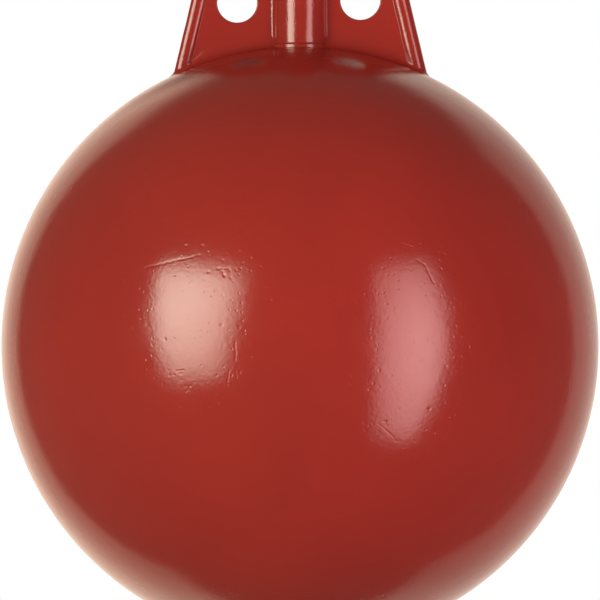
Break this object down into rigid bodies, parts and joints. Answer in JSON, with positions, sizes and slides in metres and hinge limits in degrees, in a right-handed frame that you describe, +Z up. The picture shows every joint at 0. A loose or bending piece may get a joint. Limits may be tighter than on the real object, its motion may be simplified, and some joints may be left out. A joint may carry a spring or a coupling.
{
  "type": "marker buoy",
  "caption": "Hollow hard-plastic ball float whose moulded top lug is a thin rimmed web with rope eyes on either side of an upright post, for marking a mooring or a line.",
  "frame": {"origin": "lowest point of the ball, straight below the post", "axes": "+Z up along the post's axis through the ball's centre; the web lies in the XZ plane, so its flat faces look along -Y (front) and +Y (back) and the rope eyes run along Y"},
  "size_m": [0.3, 0.3, 0.37],
  "materials": {
    "red_plastic": "gloss, with fine moulding pits and light scuffs on the ball"
  },
  "bodies": {
    "root": {"buoy_body": "red_plastic"}
  },
  "joints": []
}
